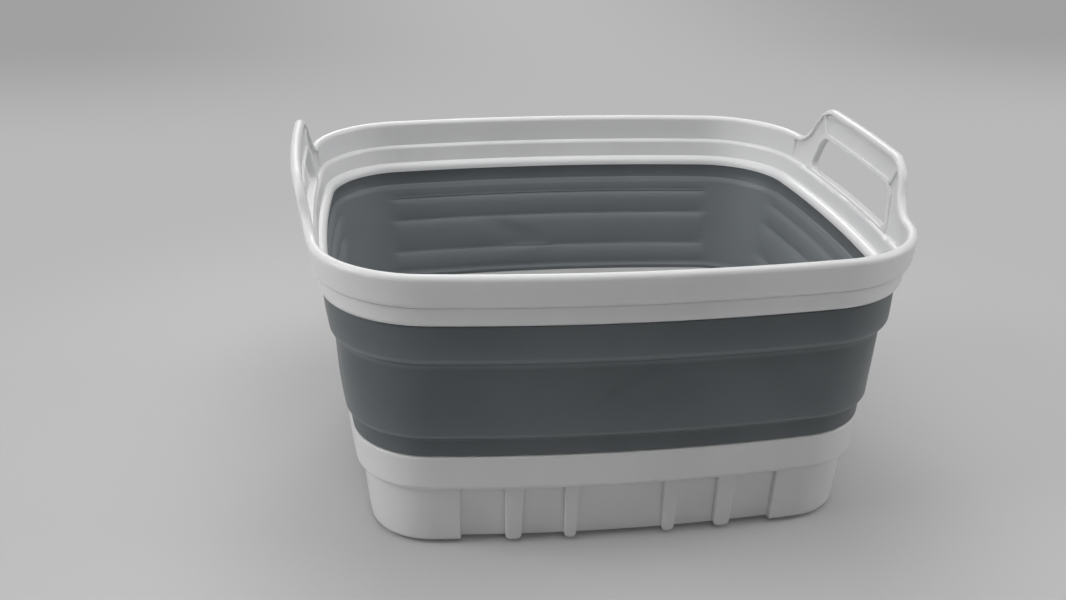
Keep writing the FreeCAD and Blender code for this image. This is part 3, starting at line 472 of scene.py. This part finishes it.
# Geometry nodes of the soft wall
def dent_group():
    """A soft dent in a long side: how far it moves a point of the wall inwards."""
    tree = bpy.data.node_groups.new("Soft dent", "GeometryNodeTree")
    for name, kind in (("Place", "NodeSocketVector"), ("Centre", "NodeSocketVector"),
                       ("Size", "NodeSocketVector"), ("Lean", "NodeSocketFloat"),
                       ("Depth", "NodeSocketFloat")):
        tree.interface.new_socket(name, in_out="INPUT", socket_type=kind)
    tree.interface.new_socket("Offset", in_out="OUTPUT", socket_type="NodeSocketFloat")
    build = NodeBuilder(tree)
    given = build.add("NodeGroupInput").outputs
    apart = build.vector("SUBTRACT", given["Place"], given["Centre"])
    turned = build.add("ShaderNodeVectorRotate", {"Vector": apart, "Angle": given["Lean"]},
                       rotation_type="Y_AXIS").outputs[0]
    reach = build.add("ShaderNodeVectorMath", {0: build.vector("DIVIDE", turned, given["Size"])},
                      operation="LENGTH").outputs["Value"]
    fall = build.math("EXPONENT", build.math("MULTIPLY", build.math("MULTIPLY", reach, reach), -1.0))
    build.add("NodeGroupOutput", {"Offset": build.math("MULTIPLY", fall, given["Depth"])})
    return tree


def wall_tree():
    """Runs the section round the outline, steps the flat sides and makes the folding band uneven."""
    tree = bpy.data.node_groups.new("Soft wall", "GeometryNodeTree")
    for name, kind in (("Outline", "NodeSocketObject"), ("Section", "NodeSocketObject"),
                       ("Ripple", "NodeSocketFloat"), ("Ripple size", "NodeSocketFloat"),
                       ("Fold foot", "NodeSocketFloat"), ("Fold top", "NodeSocketFloat"),
                       ("Material", "NodeSocketMaterial")):
        tree.interface.new_socket(name, in_out="INPUT", socket_type=kind)
    tree.interface.new_socket("Geometry", in_out="OUTPUT", socket_type="NodeSocketGeometry")
    build = NodeBuilder(tree)
    given = build.add("NodeGroupInput").outputs

    def line(helper):
        shape = build.add("GeometryNodeObjectInfo", {"Object": helper}).outputs["Geometry"]
        return build.add("GeometryNodeMeshToCurve", {"Mesh": shape}).outputs[0]

    def value(name, kind="FLOAT"):
        node = build.add("GeometryNodeInputNamedAttribute", {"Name": name}, data_type=kind)
        return node.outputs["Attribute"]

    shell = build.add("GeometryNodeCurveToMesh", {"Curve": line(given["Outline"]),
                                                  "Profile Curve": line(given["Section"])}).outputs[0]
    upright = build.add("ShaderNodeCombineXYZ", {2: value("height")}).outputs[0]
    outward = value("outward", "FLOAT_VECTOR")
    spot = build.vector("ADD", value("place", "FLOAT_VECTOR"), upright)
    stepped = build.math("MULTIPLY", value("relief"), value("flat"))
    scale = build.math("DIVIDE", 1.0, given["Ripple size"])
    noise = build.add("ShaderNodeTexNoise", {"Vector": spot, "Scale": scale, "Detail": 1.5}).outputs[0]
    fade = build.math("MULTIPLY", build.math("SUBTRACT", given["Fold top"], given["Fold foot"]),
                      FOLD_FADE_SHARE)
    in_fold = build.math(
        "MULTIPLY",
        build.ramp(value("height"), given["Fold foot"], build.math("ADD", given["Fold foot"], fade)),
        build.ramp(value("height"), build.math("SUBTRACT", given["Fold top"], fade), given["Fold top"],
                   1.0, 0.0))
    uneven = build.math("MULTIPLY", build.math("SUBTRACT", noise, 0.5),
                        build.math("MULTIPLY", given["Ripple"], 2.0))
    dent = dent_group()
    for side, x, height, half_length, half_height, lean, depth in DENTS:
        facing = build.math("MULTIPLY", build.add("ShaderNodeSeparateXYZ", {0: outward}).outputs[1], side)
        level = build.vector("MULTIPLY", spot, (1.0, 0.0, 1.0))
        node = build.add("GeometryNodeGroup", node_tree=dent)
        tree.links.new(level, node.inputs["Place"])
        node.inputs["Centre"].default_value = (x, 0.0, height)
        node.inputs["Size"].default_value = (half_length, 1.0, half_height)
        node.inputs["Lean"].default_value = math.radians(lean)
        node.inputs["Depth"].default_value = depth
        pressed = build.math("MULTIPLY", node.outputs[0], build.ramp(facing, *SIDE_FACING))
        uneven = build.math("ADD", uneven, pressed)
    moved = build.math("ADD", build.math("ADD", value("inset"), stepped),
                       build.math("MULTIPLY", uneven, in_fold))
    position = build.vector("SUBTRACT", spot, build.scaled(outward, moved))
    # Painted light: the lip attribute sums the section's painted light and, on the flat sides only, the extra for
    # the steps
    painted_light = build.math("ADD", value("lip"), build.math("MULTIPLY", value("shine"), value("flat")))
    marked = build.add("GeometryNodeStoreNamedAttribute", {"Geometry": shell, "Name": "lip", "Value": painted_light},
                       data_type="FLOAT", domain="POINT").outputs[0]
    shaped = build.add("GeometryNodeSetPosition", {"Geometry": marked, "Position": position}).outputs[0]
    soft = build.add("GeometryNodeSetShadeSmooth", {"Geometry": shaped}).outputs[0]
    real = build.add("GeometryNodeRealizeInstances", {"Geometry": soft}).outputs[0]
    dressed = build.add("GeometryNodeSetMaterial", {"Geometry": real, "Material": given["Material"]})
    build.add("NodeGroupOutput", {"Geometry": dressed.outputs[0]})
    return tree


def bake_nodes(name, tree, values):
    """A plain mesh object made by a tree of geometry nodes."""
    piece = bpy.data.objects.new(name, bpy.data.meshes.new(name + "_blank"))
    bpy.context.scene.collection.objects.link(piece)
    modifier = piece.modifiers.new("Shape", "NODES")
    modifier.node_group = tree
    for item in tree.interface.items_tree:
        if item.in_out == "INPUT":
            modifier[item.identifier] = values[item.name]
    graph = bpy.context.evaluated_depsgraph_get()
    mesh = bpy.data.meshes.new_from_object(piece.evaluated_get(graph), depsgraph=graph)
    piece.modifiers.clear()
    piece.data = mesh
    mesh.name = name
    return piece


# Materials
def grain_group():
    """Fine moulded grain and broad clouds on object coordinates."""
    tree = bpy.data.node_groups.new("Moulded grain", "ShaderNodeTree")
    for name in ("Grain size", "Cloud size"):
        tree.interface.new_socket(name, in_out="INPUT", socket_type="NodeSocketFloat")
    for name in ("Grain", "Clouds"):
        tree.interface.new_socket(name, in_out="OUTPUT", socket_type="NodeSocketFloat")
    build = NodeBuilder(tree)
    given = build.add("NodeGroupInput").outputs
    spot = build.add("ShaderNodeTexCoord").outputs["Object"]
    outputs = {}
    for name, size, detail in (("Grain", "Grain size", 3.0), ("Clouds", "Cloud size", 4.0)):
        scale = build.math("DIVIDE", 1.0, given[size])
        noise = build.add("ShaderNodeTexNoise", {"Vector": spot, "Scale": scale, "Detail": detail})
        outputs[name] = noise.outputs[0]
    build.add("NodeGroupOutput", outputs)
    return tree


def moulded_material(name, grain, colours, grain_size, cloud_size, roughness, bump, sheen=0.0, milky=0.0,
                     painted_light=None):
    """A moulded finish: clouded colour and gloss, fine grain, and painted light where the mesh says so: lighter
    lips and faces that stand in for highlights and light.
    """
    material = bpy.data.materials.new(name)
    material.use_nodes = True
    tree = material.node_tree
    tree.nodes.clear()
    build = NodeBuilder(tree)
    texture = build.add("ShaderNodeGroup", node_tree=grain)
    texture.inputs["Grain size"].default_value = grain_size
    texture.inputs["Cloud size"].default_value = cloud_size
    clouds = texture.outputs["Clouds"]
    tint = build.mixed(build.ramp(clouds, *CLOUD_TINT), opaque(colours[0]), opaque(colours[1]))
    # Painted light: the lip attribute mixes the colour towards a lighter one, in place of highlights and light
    if painted_light:
        lip = build.add("ShaderNodeAttribute", attribute_name="lip").outputs["Fac"]
        tint = build.mixed(build.math("MULTIPLY", lip, PAINTED_LIGHT_SHARE), tint, opaque(painted_light))
    gloss = build.ramp(clouds, *CLOUD_GLOSS, *roughness)
    relief = build.add("ShaderNodeBump", {"Strength": bump, "Distance": GRAIN_HEIGHT,
                                          "Height": texture.outputs["Grain"]}).outputs[0]
    shader = build.add("ShaderNodeBsdfPrincipled", {
        "Base Color": tint, "Roughness": gloss, "Normal": relief, "IOR": PLASTIC_IOR, "Sheen Weight": sheen,
        "Sheen Roughness": SHEEN_ROUGHNESS, "Subsurface Weight": milky, "Subsurface Scale": MILKY_REACH,
        "Subsurface Radius": (1.0, 1.0, 1.0)})
    build.add("ShaderNodeOutputMaterial", {"Surface": shader.outputs[0]})
    return material


def shared_grain():
    return bpy.data.node_groups.get("Moulded grain") or grain_group()


class BOWL_OT_soft_wall(bpy.types.Operator):
    """Make the soft folding wall in one piece, from the rim to the base"""

    bl_idname = "bowl.soft_wall"
    bl_label = "Soft wall"

    def execute(self, context):
        settings = context.scene.bowl
        wall, colours = settings.wall, settings.colours
        plan = outline_points(settings.outline)
        outline = closed_loop("wall_outline", [spot for spot, out, flat in plan])
        give_values(outline, "place", "FLOAT_VECTOR", [spot for spot, out, flat in plan])
        give_values(outline, "outward", "FLOAT_VECTOR", [out for spot, out, flat in plan])
        give_values(outline, "flat", "FLOAT", [flat for spot, out, flat in plan])
        rows = wall_section(wall, settings.relief)
        section = closed_loop("wall_section", [(row[0], row[1], 0) for row in rows])
        for index, name in enumerate(("inset", "height", "relief", "lip", "shine")):
            give_values(section, name, "FLOAT", [row[index] for row in rows])
        finish = moulded_material("slate_elastomer", shared_grain(), (colours.slate, colours.slate_shade),
                                  0.35 * MM, 60 * MM, (0.46, 0.58), 0.25, 0.12, painted_light=colours.slate_painted_light)
        piece = bake_nodes("soft_wall", wall_tree(), {
            "Outline": outline, "Section": section, "Ripple": settings.relief.ripple,
            "Ripple size": settings.relief.ripple_size, "Fold foot": wall.lower_crease,
            "Fold top": wall.upper_crease, "Material": finish})
        for helper in (outline, section):
            bpy.data.meshes.remove(helper.data)
        mesh = piece.data
        for name in ("place", "outward", "flat", "inset", "height", "relief", "shine"):
            if name in mesh.attributes:
                mesh.attributes.remove(mesh.attributes[name])
        shape = bmesh.new()
        shape.from_mesh(mesh)
        bmesh.ops.recalc_face_normals(shape, faces=shape.faces)
        shape.to_mesh(mesh)
        shape.free()
        mesh.set_sharp_from_angle(angle=SHARP_ANGLE)
        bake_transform(piece)
        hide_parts("wall_upper_band", "wall_fold_band", "wall_lower_band")
        return {"FINISHED"}


class BOWL_OT_hard_parts(bpy.types.Operator):
    """Finish the rim and the base as moulded white plastic"""

    bl_idname = "bowl.hard_parts"
    bl_label = "Rim and base"

    def execute(self, context):
        colours = context.scene.bowl.colours
        finish = moulded_material("white_polypropylene", shared_grain(), (colours.white, colours.white_shade),
                                  0.5 * MM, 90 * MM, (0.30, 0.40), 0.08, milky=0.5)
        for node in ("rim", "base"):
            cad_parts[node].material_slots[0].material = finish
        return {"FINISHED"}


class BOWL_OT_studs(bpy.types.Operator):
    """Finish the four foot studs"""

    bl_idname = "bowl.studs"
    bl_label = "Foot studs"

    def execute(self, context):
        colours = context.scene.bowl.colours
        finish = moulded_material("stud_polyethylene", shared_grain(), (colours.stud, colours.stud_shade),
                                  0.3 * MM, 3 * MM, (0.25, 0.4), 0.1)
        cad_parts["foot_studs"].material_slots[0].material = finish
        return {"FINISHED"}


class BOWL_OT_studio(bpy.types.Operator):
    """Set up the floor, the lights and the camera"""

    bl_idname = "bowl.studio"
    bl_label = "Studio"

    def execute(self, context):
        settings = context.scene.bowl
        self.make_floor(settings)
        self.make_lights(context, settings.studio)
        self.make_camera(context, settings.studio)
        context.scene.view_settings.view_transform = "Standard"
        return {"FINISHED"}

    def make_floor(self, settings):
        shape = bmesh.new()
        bmesh.ops.create_circle(shape, cap_ends=True, segments=FLOOR_SEGMENTS, radius=settings.studio.floor_radius)
        mesh = bpy.data.meshes.new("studio_floor")
        shape.to_mesh(mesh)
        shape.free()
        floor = bpy.data.objects.new("studio_floor", mesh)
        bpy.context.scene.collection.objects.link(floor)
        material = bpy.data.materials.new("studio_paper")
        material.use_nodes = True
        material.node_tree.nodes.clear()
        build = NodeBuilder(material.node_tree)
        spot = build.add("ShaderNodeTexCoord").outputs["Object"]
        reach = build.add("ShaderNodeVectorMath", {0: spot}, operation="LENGTH").outputs["Value"]
        studio = settings.studio
        paper = build.add("ShaderNodeBsdfDiffuse", {"Color": opaque(settings.colours.floor)}).outputs[0]
        # Painted shade: beyond the pool the floor is an emission for camera, glossy and transmission rays, whose
        # level dims to the sides and far behind the bowl and fades to the backdrop level
        along = build.add("ShaderNodeSeparateXYZ", {0: spot}).outputs
        aside = build.math("ABSOLUTE", build.math("SUBTRACT", along[0], studio.dim_middle))
        dim = build.math("MULTIPLY", build.ramp(aside, 0.0, studio.dim_reach),
                         build.ramp(along[1], studio.dim_near, studio.dim_far))
        dim = build.math("MAXIMUM", dim, build.ramp(reach, studio.fade_start, studio.fade_end))
        level = build.ramp(dim, 0.0, 1.0, studio.floor_level, studio.backdrop_level, smooth=False)
        even = build.add("ShaderNodeEmission", {"Strength": level}).outputs[0]
        path = build.add("ShaderNodeLightPath").outputs
        seen = build.math("MAXIMUM", path["Is Camera Ray"], path["Is Glossy Ray"])
        seen = build.math("MAXIMUM", seen, path["Is Transmission Ray"])
        far = build.math("MULTIPLY", seen, build.ramp(reach, studio.pool_radius, studio.far_radius))
        # Painted light: the near floor glows a little for camera, glossy and transmission rays, lifting the shadow
        # under the bowl
        painted_glow = build.math("MULTIPLY", seen, studio.painted_floor_fill)
        fill = build.add("ShaderNodeEmission", {"Strength": painted_glow}).outputs[0]
        near = build.add("ShaderNodeAddShader", {0: paper, 1: fill}).outputs[0]
        shader = build.add("ShaderNodeMixShader", {0: far, 1: near, 2: even})
        build.add("ShaderNodeOutputMaterial", {"Surface": shader.outputs[0]})
        mesh.materials.append(material)

    def make_lights(self, context, studio):
        for name, spot, size, watts in (
                ("key_softbox", studio.key_place, studio.key_size, studio.key_power),
                ("left_softbox", studio.left_place, studio.side_size, studio.left_power),
                ("right_softbox", studio.right_place, studio.side_size, studio.right_power),
                ("back_softbox", studio.back_place, studio.side_size, studio.back_power),
                ("front_softbox", studio.front_place, studio.side_size, studio.front_power)):
            lamp = bpy.data.lights.new(name, "AREA")
            lamp.shape = "DISK"
            lamp.size = size
            lamp.energy = watts
            softbox = bpy.data.objects.new(name, lamp)
            softbox.location = spot
            softbox.rotation_euler = (-Vector(spot)).to_track_quat("-Z", "Y").to_euler()
            context.scene.collection.objects.link(softbox)
        world = bpy.data.worlds.new("studio_air")
        world.use_nodes = True
        world.node_tree.nodes.clear()
        build = NodeBuilder(world.node_tree)
        path = build.add("ShaderNodeLightPath").outputs
        seen = build.math("MAXIMUM", path["Is Camera Ray"], path["Is Transmission Ray"])
        level = build.ramp(seen, 0.0, 1.0, studio.sky_level, studio.backdrop_level, smooth=False)
        air = build.add("ShaderNodeBackground", {"Color": (1.0, 1.0, 1.0, 1.0), "Strength": level})
        build.add("ShaderNodeOutputWorld", {"Surface": air.outputs[0]})
        context.scene.world = world

    def make_camera(self, context, studio):
        """The camera of the photograph, from its place, its three turns and its focal length."""
        yaw, pitch, roll = studio.camera_yaw, studio.camera_pitch, studio.camera_roll
        level_right = Vector((math.cos(yaw), math.sin(yaw), 0))
        ahead = Vector((-math.sin(yaw), math.cos(yaw), 0))
        forward = ahead * math.cos(pitch) - Vector((0, 0, math.sin(pitch)))
        level_down = forward.cross(level_right)
        right = level_right * math.cos(roll) + level_down * math.sin(roll)
        down = level_down * math.cos(roll) - level_right * math.sin(roll)
        lens = bpy.data.cameras.new("photo_camera")
        lens.sensor_width = SENSOR_WIDTH
        lens.lens = studio.focal_pixels * SENSOR_WIDTH / PHOTO_WIDTH
        lens.clip_start = CLIP_START
        camera = bpy.data.objects.new("photo_camera", lens)
        turn = Matrix((right, -down, -forward)).transposed()
        camera.matrix_world = Matrix.Translation(studio.camera_place) @ turn.to_4x4()
        context.scene.collection.objects.link(camera)
        context.scene.camera = camera


class BOWL_PT_sidebar(bpy.types.Panel):
    """Lists the bowl's sizes, colours and makers"""

    bl_idname = "BOWL_PT_sidebar"
    bl_label = "Washing up bowl"
    bl_space_type = "VIEW_3D"
    bl_region_type = "UI"
    bl_category = "Bowl"

    def draw(self, context):
        settings = context.scene.bowl
        for group in (settings.outline, settings.wall, settings.relief, settings.colours, settings.studio):
            box = self.layout.box()
            for name in group.__annotations__:
                box.prop(group, name)
        for maker in MAKERS:
            self.layout.operator(maker.bl_idname)


GROUPS = (BowlOutline, WallSizes, WallRelief, BowlColours, StudioSetup, BowlSettings)
MAKERS = (BOWL_OT_soft_wall, BOWL_OT_hard_parts, BOWL_OT_studs, BOWL_OT_studio)


def register():
    for item in GROUPS + MAKERS + (BOWL_PT_sidebar,):
        bpy.utils.register_class(item)
    bpy.types.Scene.bowl = PointerProperty(type=BowlSettings)


def unregister():
    del bpy.types.Scene.bowl
    for item in reversed(GROUPS + MAKERS + (BOWL_PT_sidebar,)):
        bpy.utils.unregister_class(item)


def main():
    register()
    bpy.ops.bowl.soft_wall()
    bpy.ops.bowl.hard_parts()
    bpy.ops.bowl.studs()
    bpy.ops.bowl.studio()


if __name__ == "__main__":
    main()
